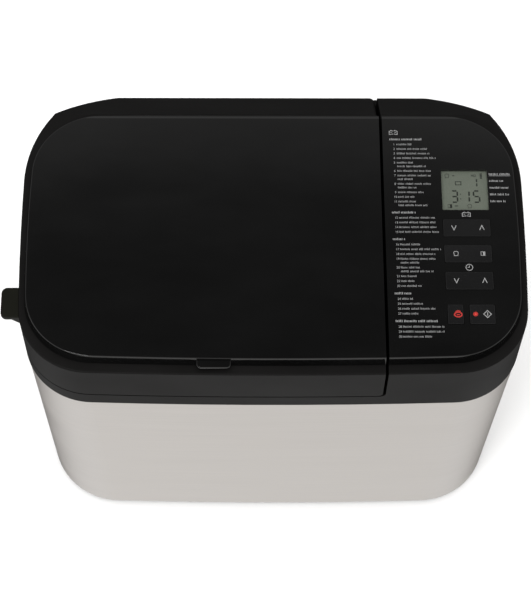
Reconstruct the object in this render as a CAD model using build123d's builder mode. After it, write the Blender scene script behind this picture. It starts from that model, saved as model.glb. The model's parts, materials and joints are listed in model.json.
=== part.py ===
from build123d import *
import math
import os

os.makedirs("parts", exist_ok=True)

# Bread machine, in millimetres. +Z is up, +X is to the user's right, the front faces -Y.
# The origin is on the worktop, under the middle of the overall width and depth.

# Driving sizes of the outside
OVERALL_WIDTH = 389.0
OVERALL_HEIGHT = 324.0
BODY_DEPTH = 258.0
TAB_REACH = 11.6
SIDE_BOW = 3.8
CORNER_RADIUS = 53.0
BACK_CORNER_RADIUS = 98.0
BODY_X = TAB_REACH / 2
HALF_W = (OVERALL_WIDTH - TAB_REACH) / 2 - SIDE_BOW
HALF_D = BODY_DEPTH / 2 - SIDE_BOW
FAR = 300.0

# Heights of the outside
FOOT_HEIGHT = 8.0
WRAP_TOP = 259.0
RIM_TOP = 273.5
LID_GAP = 1.3
LID_BOTTOM = RIM_TOP + LID_GAP
LEDGE_Z = 315.0
GLOSS_BOTTOM = LEDGE_Z + 0.3

# Steel wrap
STEEL = 1.0
RIM_STEP = 0.6
FRONT_LEAN = 13.0
BACK_LEAN = 3.5
BOTTOM_CORNER_RADIUS = 58.0
BOTTOM_BACK_CORNER_RADIUS = 99.0
LIP = 9.0
SLOT_PITCH = 9.0
SLOT_WIDTH = 3.4

# Cord gland in the back wall
GLAND_X = 70.0
GLAND_Z = 34.0
GLAND_RADIUS = 8.0

# Base, posts for the drive bracket, and small details
BRACKET_POSTS = ((-95, -48), (-95, 36), (20, -48), (20, 36), (150, -48), (150, 36))
POST_RADIUS = 7.0
TRAY_BOTTOM = FOOT_HEIGHT + STEEL
TRAY = 2.4
FEET_SPACING = (270, 150)
FOOT_RADIUS = 9.0
TONGUE = 8.0
EDGE_RADIUS = 1.2
SEAM_CORNER = 5.0

# Seam between the lid and the control housing
LID_RIGHT = 81.1
HOUSING_LEFT = 83.3
WALL = 2.8
DECK = 3.0

# Back shoulder and lid hinge
HINGE_RADIUS = 6.0
HINGE_Y = 118.4
HINGE_Z = LID_BOTTOM + HINGE_RADIUS
SHOULDER_Y = 89.7
HINGE_XS = (-78.0, 45.0)
EAR_WIDTH = 9.0
EAR_HALF = 3.0
EAR_RADIUS = 4.0
SLOT_CLEARANCE = 0.4
HINGE_BAR = 10.0
PIN_RADIUS = 1.8
PIN_LENGTH = 26.0
PIN_CLEARANCE = 0.05

# Gloss panels: the lid's top cover and the control plate share one outline
GLOSS_HALF_W = 178.8
GLOSS_HALF_D = 98.7
GLOSS_Y = -17.4
GLOSS_RADIUS = 50.7
GLOSS_BEVEL = 1.8
GLOSS_SKIN = 2.4
GLOSS_EDGE_RADIUS = 0.7
COVER_ROUND = (OVERALL_HEIGHT - GLOSS_BOTTOM) / 2
COVER_AXIS_Z = GLOSS_BOTTOM + COVER_ROUND
COVER_AXIS_Y = GLOSS_HALF_D + SIDE_BOW + GLOSS_Y - COVER_ROUND
COVER_BAR = 8.0
COVER_EAR_XS = (-105.0, 50.0)
COVER_EAR_WIDTH = 6.0
COVER_EAR_RADIUS = 1.9
COVER_EAR_HALF = 1.6
COVER_PIN_RADIUS = 0.9
COVER_PIN_LENGTH = 16.0

# Tabs
FRONT_TAB_X = -43.5
FRONT_TAB_WIDTH = 25.0
FRONT_TAB_TIP_Y = -126.0
FRONT_TAB_Z = 319.0
FRONT_TAB_THICKNESS = 2.6
SIDE_TAB_Y = -70.7
SIDE_TAB_LENGTH = 24.6
SIDE_TAB_THICKNESS = 3.4
SIDE_TAB_WEB = 9.0

# Control panel
KEY_PROUD = 0.5
KEY_CLEARANCE = 0.35
KEY_BOTTOM = 318.4
KEY_FLANGE_TOP = 320.4
KEY_FRAME_TOP = 316.9
KEY_FLANGE = 1.2
PANEL_X = 144.0
ROCKER_WIDTH = 35.0
ROCKER_DEPTH = 14.2
ROCKER_YS = (-13.5, -35.1, -57.3)
PRESS_DEPTH = 15.4
PRESS_Y = -84.5
STOP_X = 132.6
STOP_WIDTH = 11.4
START_X = 152.2
START_WIDTH = 18.4
WINDOW_WIDTH = 34.6
WINDOW_DEPTH = 34.2
WINDOW_Y = 19.0
HATCH_WIDTH = 52.0
HATCH_FRONT = -100.0
HATCH_BACK = 44.0
BOARD = 1.6
BOARD_DROP = 7.0
SWITCH_SPREAD = 12.0
SWITCH_WIDTH = 6.0
SWITCH_HEIGHT = 3.5
SWITCH_GAP = 1.6
SWITCH_WINDOW = 8.0
POWER_BOARD_Y = 78.0

# Oven well, pan and drive, all centred on the spindle
WELL_X = -54.0
WELL_Y = -6.0
WELL_HALF_W = 97.0
WELL_HALF_D = 83.0
WELL_RADIUS = 20.0
WELL_FLOOR = 58.0
SHEET = 1.2
PAN_FLOOR = 84.0
PAN_TOP = 238.0
PAN_BASE_HALF = (76.0, 62.0)
PAN_MOUTH_HALF = (80.0, 66.0)
PAN_RADIUS = 22.0
PAN_WALL = 1.6
PAN_RIM = 4.0
COLLAR_RADIUS = 50.0
COLLAR_BOTTOM = 62.3
BUSH_RADIUS = 9.0
BLADE_BOTTOM = 87.0
BLADE_TOP = 112.0
BLADE_HUB = 8.5
SPINDLE_RADIUS = 5.0
SHAFT_RADIUS = 4.0
RUNNING = 0.05
BEARING_RADIUS = 14.0
BEARING_FLANGE_RADIUS = 26.0
BEARING_TOP = 66.0
DOG_BOTTOM = BEARING_TOP + 0.5
DOG_TOP = 78.0
DOG_RADIUS = 12.0
DOG_SLOT = 5.6
DOG_SLOT_DEPTH = 9.0
BAIL_Z = 241.5
BAIL_RADIUS = 2.2
BAIL_REACH = 66.0
BAIL_HALF = 86.0
BRACKET_TOP = 45.0
BRACKET_SHEET = 3.0
BRACKET_HOLE = 8.0
PULLEY_BOTTOM = 20.0
PULLEY_TOP = 32.0
DRIVEN_RADIUS = 38.0
MOTOR_PULLEY_RADIUS = 8.0
MOTOR_X = 118.0
MOTOR_RADIUS = 33.0
MOTOR_TOP = 115.0
BELT = 1.5

# Heater and sensor in the well
HEATER_Z = 80.0
HEATER_RADIUS = 3.2
HEATER_RIGHT = 79.0
HEATER_LEFT = -87.0
HEATER_HALF_D = 73.0
HEATER_ENDS = 14.0
HEATER_TURN = 8.0
SENSOR_Z = 150.0
SENSOR_RADIUS = 3.6

# Dispensers in the lid
DISPENSER_X = -70.0
DISPENSER_Y = -20.0
DISPENSER_WIDTH = 100.0
DISPENSER_DEPTH = 62.0
YEAST_X = 4.5
YEAST_WIDTH = 34.0
YEAST_DEPTH = 44.0
BOX_WALL = 1.6
BOX_BOTTOM = LID_BOTTOM - 2.5
FLAP = 1.6
FLAP_Z = BOX_BOTTOM + 0.4
FLAP_PIN_RADIUS = 1.0
FLAP_PIN_INSET = 4.0
BOX_FLANGE = 1.2
BOX_FLANGE_REACH = 3.0


def level(z):
    """Horizontal plane at height z whose origin is over the middle of the body."""
    return Plane((BODY_X, 0, z))


def side_view(x):
    """Upright plane at x: local x runs to the back, local y runs up, and it faces right."""
    return Plane((BODY_X + x, 0, 0), x_dir=(0, 1, 0), z_dir=(1, 0, 0))


def front_view(y):
    """Upright plane at y: local x runs right, local y runs up, and it faces the front."""
    return Plane((BODY_X, y, 0), x_dir=(1, 0, 0), z_dir=(0, -1, 0))


def well_level(z):
    """Horizontal plane at height z whose origin is on the spindle."""
    return Plane((BODY_X + WELL_X, WELL_Y, z))


def bowed_rectangle(half_x, half_y, radius, back_radius=None):
    """Rectangle whose sides bow outwards a little. Its back corners may be rounder than its front ones."""
    corners = [(-half_x, -half_y), (half_x, -half_y), (half_x, half_y), (-half_x, half_y)]
    crowns = [(0, -half_y - SIDE_BOW), (half_x + SIDE_BOW, 0), (0, half_y + SIDE_BOW), (-half_x - SIDE_BOW, 0)]
    with BuildSketch(mode=Mode.PRIVATE) as outline:
        with BuildLine():
            for index, crown in enumerate(crowns):
                ThreePointArc(corners[index], crown, corners[(index + 1) % 4])
        make_face()
        fillet(outline.vertices().sort_by(Axis.Y)[-2:], back_radius or radius)
        fillet(outline.vertices().sort_by(Axis.Y)[:2], radius)
    return outline.sketch


def body_outline(inset):
    """The body's outline, drawn in by the inset."""
    return bowed_rectangle(
        HALF_W - inset, HALF_D - inset, CORNER_RADIUS - inset, BACK_CORNER_RADIUS - inset)


def shoulder_profile(inset, bottom):
    """Side view of everything behind the sloping shoulder, down to the given height."""
    rise = LEDGE_Z - inset - HINGE_Z
    run = HINGE_Y - SHOULDER_Y + inset
    radius = HINGE_RADIUS - inset
    slope = math.degrees(math.atan2(rise, run) - math.asin(radius / math.hypot(rise, run)))
    start = -90 if bottom < HINGE_Z - radius else 0
    with BuildSketch(mode=Mode.PRIVATE) as profile:
        with BuildLine():
            turn = CenterArc((HINGE_Y, HINGE_Z), radius, start, 90 - slope - start)
            Polyline(
                turn @ 1,
                (SHOULDER_Y - inset, LEDGE_Z - inset),
                (SHOULDER_Y - inset, FAR + 100),
                (FAR, FAR + 100),
                (FAR, bottom),
                ((turn @ 0).X, bottom),
                turn @ 0,
            )
        make_face()
    return profile.sketch


def right_of(x):
    """Everything to the right of x, to be cut from an outline."""
    with BuildSketch(mode=Mode.PRIVATE) as half:
        with Locations((x + FAR, 0)):
            Rectangle(2 * FAR, 2 * FAR)
    return half.sketch


def left_of(x):
    """Everything to the left of x, to be cut from an outline."""
    with BuildSketch(mode=Mode.PRIVATE) as half:
        with Locations((x - FAR, 0)):
            Rectangle(2 * FAR, 2 * FAR)
    return half.sketch


def shell_room(other_side, bottom):
    """The hollow inside the lid or the control housing, under its top deck."""
    with BuildPart(mode=Mode.PRIVATE) as room:
        with BuildSketch(level(bottom)):
            add(body_outline(WALL))
            add(other_side, mode=Mode.SUBTRACT)
        extrude(amount=LEDGE_Z - DECK - bottom)
        with BuildSketch(side_view(0)):
            with BuildLine():
                Polyline(
                    (-FAR, bottom),
                    (HINGE_Y - HINGE_BAR, bottom),
                    (HINGE_Y - HINGE_BAR, HINGE_Z + HINGE_RADIUS + 2),
                    (SHOULDER_Y - WALL, LEDGE_Z - DECK),
                    (-FAR, LEDGE_Z - DECK),
                    close=True,
                )
            make_face()
        extrude(amount=FAR, both=True, mode=Mode.INTERSECT)
    return room.part


def make_steel_wrap():
    lean_y = (FRONT_LEAN - BACK_LEAN) / 2
    bottom_half_d = HALF_D - RIM_STEP - (FRONT_LEAN + BACK_LEAN) / 2
    with BuildPart() as steel_wrap:
        for inset, foot, mode in ((0, 0, Mode.ADD), (STEEL, STEEL, Mode.SUBTRACT)):
            with BuildSketch(level(FOOT_HEIGHT + foot)):
                with Locations((0, lean_y)):
                    add(bowed_rectangle(
                        HALF_W - RIM_STEP - inset, bottom_half_d - inset,
                        BOTTOM_CORNER_RADIUS - inset, BOTTOM_BACK_CORNER_RADIUS - inset))
            with BuildSketch(level(WRAP_TOP)):
                add(body_outline(RIM_STEP + inset))
            loft(ruled=True, mode=mode)
        # the turned-in lip at the bottom carries the base tray
        with BuildSketch(level(FOOT_HEIGHT)):
            with Locations((0, lean_y)):
                add(bowed_rectangle(
                    HALF_W - LIP, bottom_half_d - LIP,
                    BOTTOM_CORNER_RADIUS - LIP, BOTTOM_BACK_CORNER_RADIUS - LIP))
        extrude(amount=STEEL, mode=Mode.SUBTRACT)
        # air slots and the hole for the cord gland, in the back wall
        with BuildSketch(front_view(BODY_DEPTH / 4)):
            with Locations((70, 95)):
                with GridLocations(SLOT_PITCH, 38, 9, 2):
                    SlotOverall(28, SLOT_WIDTH, rotation=90)
            with Locations((GLAND_X, GLAND_Z)):
                Circle(GLAND_RADIUS)
        extrude(amount=-FAR, mode=Mode.SUBTRACT)
    steel_wrap.part.label = "steel_wrap"
    export_step(steel_wrap.part, "parts/steel_wrap.step")


def make_cord_gland():
    """A flanged bush in the back wall, where the mains lead goes in."""
    wall_y = BODY_DEPTH / 2 - BACK_LEAN + 1.0
    with BuildPart() as cord_gland:
        with BuildSketch(front_view(wall_y - 8)):
            with Locations((GLAND_X, GLAND_Z)):
                Circle(GLAND_RADIUS - 0.3)
        extrude(amount=-10)
        for flange_y in (wall_y - 8, wall_y):
            with BuildSketch(front_view(flange_y)):
                with Locations((GLAND_X, GLAND_Z)):
                    Circle(GLAND_RADIUS + 2.2)
            extrude(amount=-2)
        with BuildSketch(front_view(wall_y - 9)):
            with Locations((GLAND_X, GLAND_Z)):
                Circle(3.6)
        extrude(amount=-20, mode=Mode.SUBTRACT)
    cord_gland.part.label = "cord_gland"
    export_step(cord_gland.part, "parts/cord_gland.step")


def make_base_tray():
    """Moulded floor of the body, resting on the wrap's lip, with four foot bosses."""
    lean_y = (FRONT_LEAN - BACK_LEAN) / 2
    inset = RIM_STEP + STEEL + 1.0
    half_d = HALF_D - (FRONT_LEAN + BACK_LEAN) / 2 - inset
    with BuildPart() as base_tray:
        with BuildSketch(level(TRAY_BOTTOM)):
            with Locations((0, lean_y)):
                add(bowed_rectangle(
                    HALF_W - inset, half_d,
                    BOTTOM_CORNER_RADIUS - inset, BOTTOM_BACK_CORNER_RADIUS - inset))
            # two rows of air slots, in front of and behind the drive
            with Locations((WELL_X, -78), (60, 84)):
                with GridLocations(SLOT_PITCH, 0, 9, 1):
                    SlotOverall(22, SLOT_WIDTH, rotation=90, mode=Mode.SUBTRACT)
        extrude(amount=TRAY)
        with BuildSketch(level(TRAY_BOTTOM + TRAY)):
            with Locations(*BRACKET_POSTS):
                Circle(POST_RADIUS)
        extrude(amount=BRACKET_TOP - BRACKET_SHEET - TRAY_BOTTOM - TRAY)
    base_tray.part.label = "base_tray"
    export_step(base_tray.part, "parts/base_tray.step")


def make_rubber_feet():
    with BuildPart() as rubber_feet:
        with BuildSketch(level(0)):
            with Locations((0, 5)):
                with GridLocations(*FEET_SPACING, 2, 2):
                    Circle(FOOT_RADIUS)
        extrude(amount=TRAY_BOTTOM, taper=-3)
    rubber_feet.part.label = "rubber_feet"
    export_step(rubber_feet.part, "parts/rubber_feet.step")


def turned_up_corner(shoulder):
    """Rounded inner corner where the rim band turns up into the control housing."""
    with BuildPart(mode=Mode.PRIVATE) as corner:
        with BuildSketch(front_view(0)):
            with Locations((HOUSING_LEFT, RIM_TOP)):
                Rectangle(SEAM_CORNER, SEAM_CORNER, align=(Align.MAX, Align.MIN))
            with Locations((HOUSING_LEFT - SEAM_CORNER, RIM_TOP + SEAM_CORNER)):
                Circle(SEAM_CORNER, mode=Mode.SUBTRACT)
        extrude(amount=FAR, both=True)
        with BuildSketch(level(RIM_TOP)):
            add(body_outline(0))
        extrude(amount=2 * SEAM_CORNER, mode=Mode.INTERSECT)
        with BuildSketch(side_view(0)):
            add(shoulder)
        extrude(amount=FAR, both=True, mode=Mode.SUBTRACT)
    return corner.part


def make_upper_frame():
    """Rim band and control housing in one moulding, with the hinge ears on its deck."""
    room = shell_room(left_of(HOUSING_LEFT + WALL), RIM_TOP - DECK)
    shoulder = shoulder_profile(0, RIM_TOP)
    corner = turned_up_corner(shoulder)
    with BuildPart() as upper_frame:
        with BuildSketch(level(WRAP_TOP)):
            add(body_outline(0))
        extrude(amount=RIM_TOP - WRAP_TOP)
        with BuildSketch(level(RIM_TOP)):
            add(body_outline(0))
            add(left_of(HOUSING_LEFT), mode=Mode.SUBTRACT)
        extrude(amount=LEDGE_Z - RIM_TOP)
        with BuildSketch(side_view(0)):
            add(shoulder)
        extrude(amount=FAR, both=True, mode=Mode.SUBTRACT)
        ledge = upper_frame.faces().filter_by(Axis.Z).sort_by(Axis.Z)[-1]
        fillet(ledge.edges().filter_by(GeomType.LINE, reverse=True), EDGE_RADIUS)
        add(corner)
        with BuildSketch(level(WRAP_TOP)):
            add(body_outline(WALL))
        extrude(amount=RIM_TOP - DECK - WRAP_TOP, mode=Mode.SUBTRACT)
        add(room, mode=Mode.SUBTRACT)
        # tongue that locates the band inside the steel wrap
        with BuildSketch(level(WRAP_TOP - TONGUE)):
            add(body_outline(RIM_STEP + STEEL + 1.2))
            add(body_outline(WALL + 2.0), mode=Mode.SUBTRACT)
        extrude(amount=TONGUE)
        with BuildSketch(level(WRAP_TOP)):
            add(body_outline(WALL - 0.4))
            add(body_outline(WALL + 2.0), mode=Mode.SUBTRACT)
        extrude(amount=RIM_TOP - DECK - WRAP_TOP)
        # mouth of the oven well
        with BuildSketch(well_level(RIM_TOP - DECK)):
            RectangleRounded(2 * WELL_HALF_W, 2 * WELL_HALF_D, WELL_RADIUS)
        extrude(amount=DECK, mode=Mode.SUBTRACT)
        # hatch under the control plate
        with BuildSketch(level(LEDGE_Z - DECK)):
            with Locations((PANEL_X, (HATCH_FRONT + HATCH_BACK) / 2)):
                Rectangle(HATCH_WIDTH, HATCH_BACK - HATCH_FRONT)
        extrude(amount=DECK, mode=Mode.SUBTRACT)
        for ear_x in HINGE_XS:
            with BuildSketch(side_view(ear_x - EAR_WIDTH / 2)):
                with Locations((HINGE_Y, HINGE_Z)):
                    Circle(EAR_RADIUS)
                with Locations((HINGE_Y, (RIM_TOP - DECK + HINGE_Z) / 2)):
                    Rectangle(2 * EAR_HALF, HINGE_Z - RIM_TOP + DECK)
                with Locations((HINGE_Y, HINGE_Z)):
                    Circle(PIN_RADIUS, mode=Mode.SUBTRACT)
            extrude(amount=EAR_WIDTH)
    upper_frame.part.label = "upper_frame"
    export_step(upper_frame.part, "parts/upper_frame.step")


def make_lid_shell():
    """The lid's moulding: top deck, walls, sloping back shoulder and hinge bar."""
    room = shell_room(right_of(LID_RIGHT - WALL), LID_BOTTOM)
    shoulder = shoulder_profile(0, LID_BOTTOM - 5)
    slot_half = EAR_WIDTH / 2 + SLOT_CLEARANCE
    slot_low = LID_BOTTOM - 5
    with BuildPart() as lid_shell:
        with BuildSketch(level(LID_BOTTOM)):
            add(body_outline(0))
            add(right_of(LID_RIGHT), mode=Mode.SUBTRACT)
        extrude(amount=LEDGE_Z - LID_BOTTOM)
        with BuildSketch(side_view(0)):
            add(shoulder)
        extrude(amount=FAR, both=True, mode=Mode.SUBTRACT)
        ledge = lid_shell.faces().filter_by(Axis.Z).sort_by(Axis.Z)[-1]
        fillet(ledge.edges().filter_by(GeomType.LINE, reverse=True), EDGE_RADIUS)
        lower_right = lid_shell.edges().filter_by(Axis.Y).filter_by_position(
            Axis.Z, LID_BOTTOM - 1, LID_BOTTOM + 1).sort_by(Axis.X)[-1]
        fillet(lower_right, SEAM_CORNER - 1)
        add(room, mode=Mode.SUBTRACT)
        # openings for the two dispensers
        with BuildSketch(level(LEDGE_Z - DECK)):
            with Locations((DISPENSER_X, DISPENSER_Y)):
                Rectangle(DISPENSER_WIDTH + 0.6, DISPENSER_DEPTH + 0.6)
            with Locations((YEAST_X, DISPENSER_Y)):
                Rectangle(YEAST_WIDTH + 0.6, YEAST_DEPTH + 0.6)
        extrude(amount=DECK, mode=Mode.SUBTRACT)
        # slots for the frame's hinge ears, and the pin bores beside them
        for ear_x in HINGE_XS:
            with BuildSketch(side_view(ear_x - slot_half)):
                with Locations((HINGE_Y, HINGE_Z)):
                    Circle(EAR_RADIUS + SLOT_CLEARANCE)
                with Locations((HINGE_Y - EAR_HALF - 0.6, slot_low)):
                    Rectangle(FAR, HINGE_Z + EAR_HALF + 0.6 - slot_low, align=(Align.MIN, Align.MIN))
            extrude(amount=2 * slot_half, mode=Mode.SUBTRACT)
            with BuildSketch(side_view(ear_x - PIN_LENGTH / 2 - 0.2)):
                with Locations((HINGE_Y, HINGE_Z)):
                    Circle(PIN_RADIUS + PIN_CLEARANCE)
            extrude(amount=PIN_LENGTH + 0.4, mode=Mode.SUBTRACT)
        # ears on the deck for the top cover's hinge
        for ear_x in COVER_EAR_XS:
            with BuildSketch(side_view(ear_x - COVER_EAR_WIDTH / 2)):
                with Locations((COVER_AXIS_Y, COVER_AXIS_Z)):
                    Circle(COVER_EAR_RADIUS)
                with Locations((COVER_AXIS_Y, (LEDGE_Z - 1 + COVER_AXIS_Z) / 2)):
                    Rectangle(2 * COVER_EAR_HALF, COVER_AXIS_Z - LEDGE_Z + 1)
                with Locations((COVER_AXIS_Y, COVER_AXIS_Z)):
                    Circle(COVER_PIN_RADIUS, mode=Mode.SUBTRACT)
            extrude(amount=COVER_EAR_WIDTH)
    lid_shell.part.label = "lid_shell"
    export_step(lid_shell.part, "parts/lid_shell.step")


def make_side_tab():
    """Lift tab on the lid's left wall, with a tapering web under it."""
    root = HALF_W + SIDE_BOW - 1.0
    tip = HALF_W + SIDE_BOW + TAB_REACH
    top = LEDGE_Z - 0.6
    with BuildPart() as side_tab:
        with BuildSketch(level(top - SIDE_TAB_THICKNESS)):
            with Locations((-(tip + root - 12) / 2, SIDE_TAB_Y)):
                RectangleRounded(tip - root + 12, SIDE_TAB_LENGTH, 4.5)
        extrude(amount=SIDE_TAB_THICKNESS)
        with BuildSketch(front_view(SIDE_TAB_Y + SIDE_TAB_LENGTH / 2 - 1.5)):
            with BuildLine():
                Polyline(
                    (-tip + 5, top - SIDE_TAB_THICKNESS),
                    (-root, top - SIDE_TAB_THICKNESS - SIDE_TAB_WEB),
                    (-root + 4, top - SIDE_TAB_THICKNESS - SIDE_TAB_WEB),
                    (-root + 4, top - SIDE_TAB_THICKNESS),
                    close=True,
                )
            make_face()
        extrude(amount=SIDE_TAB_LENGTH - 3)
        rim = side_tab.edges().filter_by(Axis.Z, reverse=True).filter_by_position(
            Axis.Z, top - 0.1, top + 0.1)
        fillet(rim, 0.8)
        # the wall of the lid is cut away, so that the tab sits against it
        with BuildSketch(level(LID_BOTTOM - 5)):
            add(body_outline(-0.02))
        extrude(amount=FAR, mode=Mode.SUBTRACT)
    side_tab.part.label = "side_tab"
    export_step(side_tab.part, "parts/side_tab.step")


def gloss_cap(other_side, room_limit):
    """A gloss panel: bevelled cap with a rounded back edge, hollow underneath."""
    foot_w = GLOSS_HALF_W + GLOSS_BEVEL
    foot_d = GLOSS_HALF_D + GLOSS_BEVEL
    with BuildPart(mode=Mode.PRIVATE) as cap:
        with BuildSketch(level(GLOSS_BOTTOM)):
            with Locations((0, GLOSS_Y)):
                add(bowed_rectangle(foot_w, foot_d, GLOSS_RADIUS + GLOSS_BEVEL))
        with BuildSketch(level(OVERALL_HEIGHT)):
            with Locations((0, GLOSS_Y)):
                add(bowed_rectangle(GLOSS_HALF_W, GLOSS_HALF_D, GLOSS_RADIUS))
        loft(ruled=True)
        fillet(cap.faces().sort_by(Axis.Z)[-1].edges(), GLOSS_EDGE_RADIUS)
        with BuildSketch(level(GLOSS_BOTTOM)):
            add(other_side)
        extrude(amount=FAR, mode=Mode.SUBTRACT)
        # the back edge is a half round about the cover's hinge axis
        with BuildSketch(side_view(0)):
            with Locations((COVER_AXIS_Y, COVER_AXIS_Z)):
                Rectangle(FAR, 4 * COVER_ROUND, align=(Align.MIN, Align.CENTER))
                Circle(COVER_ROUND, mode=Mode.SUBTRACT)
        extrude(amount=FAR, both=True, mode=Mode.SUBTRACT)
        with BuildSketch(level(GLOSS_BOTTOM)):
            with Locations((0, GLOSS_Y)):
                add(bowed_rectangle(GLOSS_HALF_W - 1.5, GLOSS_HALF_D - 1.5, GLOSS_RADIUS - 1.5))
            add(room_limit, mode=Mode.SUBTRACT)
            with Locations((0, COVER_AXIS_Y - COVER_BAR)):
                Rectangle(3 * FAR, FAR, align=(Align.CENTER, Align.MIN), mode=Mode.SUBTRACT)
        extrude(amount=OVERALL_HEIGHT - GLOSS_SKIN - GLOSS_BOTTOM, mode=Mode.SUBTRACT)
    return cap.part


def make_top_cover():
    """Gloss cover over the dispensers, with the front lift tab."""
    cap = gloss_cap(right_of(LID_RIGHT), right_of(LID_RIGHT - 1.6))
    slot_half = COVER_EAR_WIDTH / 2 + SLOT_CLEARANCE
    ear_room = COVER_EAR_HALF + 0.5
    with BuildPart() as top_cover:
        add(cap)
        with BuildSketch(level(FRONT_TAB_Z)):
            with Locations((FRONT_TAB_X, FRONT_TAB_TIP_Y)):
                RectangleRounded(FRONT_TAB_WIDTH, 14, 3, align=(Align.CENTER, Align.MIN))
        tab = extrude(amount=FRONT_TAB_THICKNESS)
        fillet(tab.edges().filter_by(GeomType.LINE).filter_by(Axis.X).sort_by(Axis.Y)[:2], 0.8)
        for ear_x in COVER_EAR_XS:
            with BuildSketch(side_view(ear_x - slot_half)):
                with Locations((COVER_AXIS_Y, COVER_AXIS_Z)):
                    Circle(COVER_EAR_RADIUS + 0.3)
                with Locations((COVER_AXIS_Y - ear_room, GLOSS_BOTTOM - 2)):
                    Rectangle(FAR, COVER_AXIS_Z + 2.0 - GLOSS_BOTTOM + 2, align=(Align.MIN, Align.MIN))
            extrude(amount=2 * slot_half, mode=Mode.SUBTRACT)
            with BuildSketch(side_view(ear_x - COVER_PIN_LENGTH / 2 - 0.2)):
                with Locations((COVER_AXIS_Y, COVER_AXIS_Z)):
                    Circle(COVER_PIN_RADIUS + PIN_CLEARANCE)
            extrude(amount=COVER_PIN_LENGTH + 0.4, mode=Mode.SUBTRACT)
    top_cover.part.label = "top_cover"
    export_step(top_cover.part, "parts/top_cover.step")


def make_control_plate():
    """Gloss plate over the controls, with openings for the display and the keys."""
    cap = gloss_cap(left_of(HOUSING_LEFT), left_of(HOUSING_LEFT + 1.6))
    with BuildPart() as control_plate:
        add(cap)
        with BuildSketch(level(GLOSS_BOTTOM)):
            with Locations((PANEL_X, WINDOW_Y)):
                RectangleRounded(WINDOW_WIDTH + 0.2, WINDOW_DEPTH + 0.2, 1.0)
            for key_y in ROCKER_YS:
                with Locations((PANEL_X, key_y)):
                    RectangleRounded(ROCKER_WIDTH + 2 * KEY_CLEARANCE, ROCKER_DEPTH + 2 * KEY_CLEARANCE, 1.2)
            for key_x, key_width in ((STOP_X, STOP_WIDTH), (START_X, START_WIDTH)):
                with Locations((key_x, PRESS_Y)):
                    RectangleRounded(key_width + 2 * KEY_CLEARANCE, PRESS_DEPTH + 2 * KEY_CLEARANCE, 1.2)
        extrude(amount=FAR, mode=Mode.SUBTRACT)
    control_plate.part.label = "control_plate"
    export_step(control_plate.part, "parts/control_plate.step")


def make_display():
    with BuildPart() as display_window:
        with BuildSketch(level(OVERALL_HEIGHT - 2.6)):
            with Locations((PANEL_X, WINDOW_Y)):
                RectangleRounded(WINDOW_WIDTH, WINDOW_DEPTH, 0.9)
        extrude(amount=2.3)
    display_window.part.label = "display_window"
    export_step(display_window.part, "parts/display_window.step")
    with BuildPart() as display_module:
        with BuildSketch(level(LEDGE_Z - DECK + 0.2)):
            with Locations((PANEL_X, WINDOW_Y)):
                Rectangle(WINDOW_WIDTH + 4, WINDOW_DEPTH + 4)
        extrude(amount=OVERALL_HEIGHT - 2.7 - LEDGE_Z + DECK - 0.2)
    display_module.part.label = "display_module"
    export_step(display_module.part, "parts/display_module.step")


def key_cap(centre_x, centre_y, width, depth, ridge):
    """A key: proud cap, retaining flange under the plate, and a ridge for a rocker to tilt on."""
    with BuildPart(mode=Mode.PRIVATE) as key:
        with BuildSketch(level(KEY_BOTTOM)):
            with Locations((centre_x, centre_y)):
                RectangleRounded(width, depth, 1.0)
        extrude(amount=OVERALL_HEIGHT + KEY_PROUD - KEY_BOTTOM)
        top = key.faces().sort_by(Axis.Z)[-1]
        fillet(top.edges(), 0.3)
        with BuildSketch(level(KEY_BOTTOM)):
            with Locations((centre_x, centre_y)):
                RectangleRounded(width + 2 * KEY_FLANGE, depth + 2 * KEY_FLANGE, 1.0)
        extrude(amount=KEY_FLANGE_TOP - KEY_BOTTOM)
        if ridge:
            with BuildSketch(level(KEY_FRAME_TOP + 0.1)):
                with Locations((centre_x, centre_y)):
                    Rectangle(1.6, depth - 2)
            extrude(amount=KEY_BOTTOM - KEY_FRAME_TOP - 0.1)
    return key.part


def make_keys():
    for name, key_y in zip(("programme_key", "size_key", "timer_key"), ROCKER_YS):
        with BuildPart() as rocker_key:
            add(key_cap(PANEL_X, key_y, ROCKER_WIDTH, ROCKER_DEPTH, True))
        rocker_key.part.label = name
        export_step(rocker_key.part, f"parts/{name}.step")
    presses = (("stop_key", STOP_X, STOP_WIDTH), ("start_key", START_X, START_WIDTH))
    for name, key_x, key_width in presses:
        with BuildPart() as press_key:
            add(key_cap(key_x, PRESS_Y, key_width, PRESS_DEPTH, False))
        press_key.part.label = name
        export_step(press_key.part, f"parts/{name}.step")


def make_key_frame():
    """Carrier under the keys: the rockers tilt on it, and windows let the keys reach the switches."""
    with BuildPart() as key_frame:
        with BuildSketch(level(LEDGE_Z - 2.4)):
            with Locations((PANEL_X, (HATCH_FRONT - 6) / 2)):
                Rectangle(HATCH_WIDTH - 2, -HATCH_FRONT - 10)
            for key_y in ROCKER_YS:
                with Locations((PANEL_X - SWITCH_SPREAD, key_y), (PANEL_X + SWITCH_SPREAD, key_y)):
                    Rectangle(SWITCH_WINDOW, SWITCH_WINDOW, mode=Mode.SUBTRACT)
            with Locations((STOP_X, PRESS_Y), (START_X, PRESS_Y)):
                Rectangle(SWITCH_WINDOW, SWITCH_WINDOW, mode=Mode.SUBTRACT)
        extrude(amount=KEY_FRAME_TOP - LEDGE_Z + 2.4)
    key_frame.part.label = "key_frame"
    export_step(key_frame.part, "parts/key_frame.step")


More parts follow.
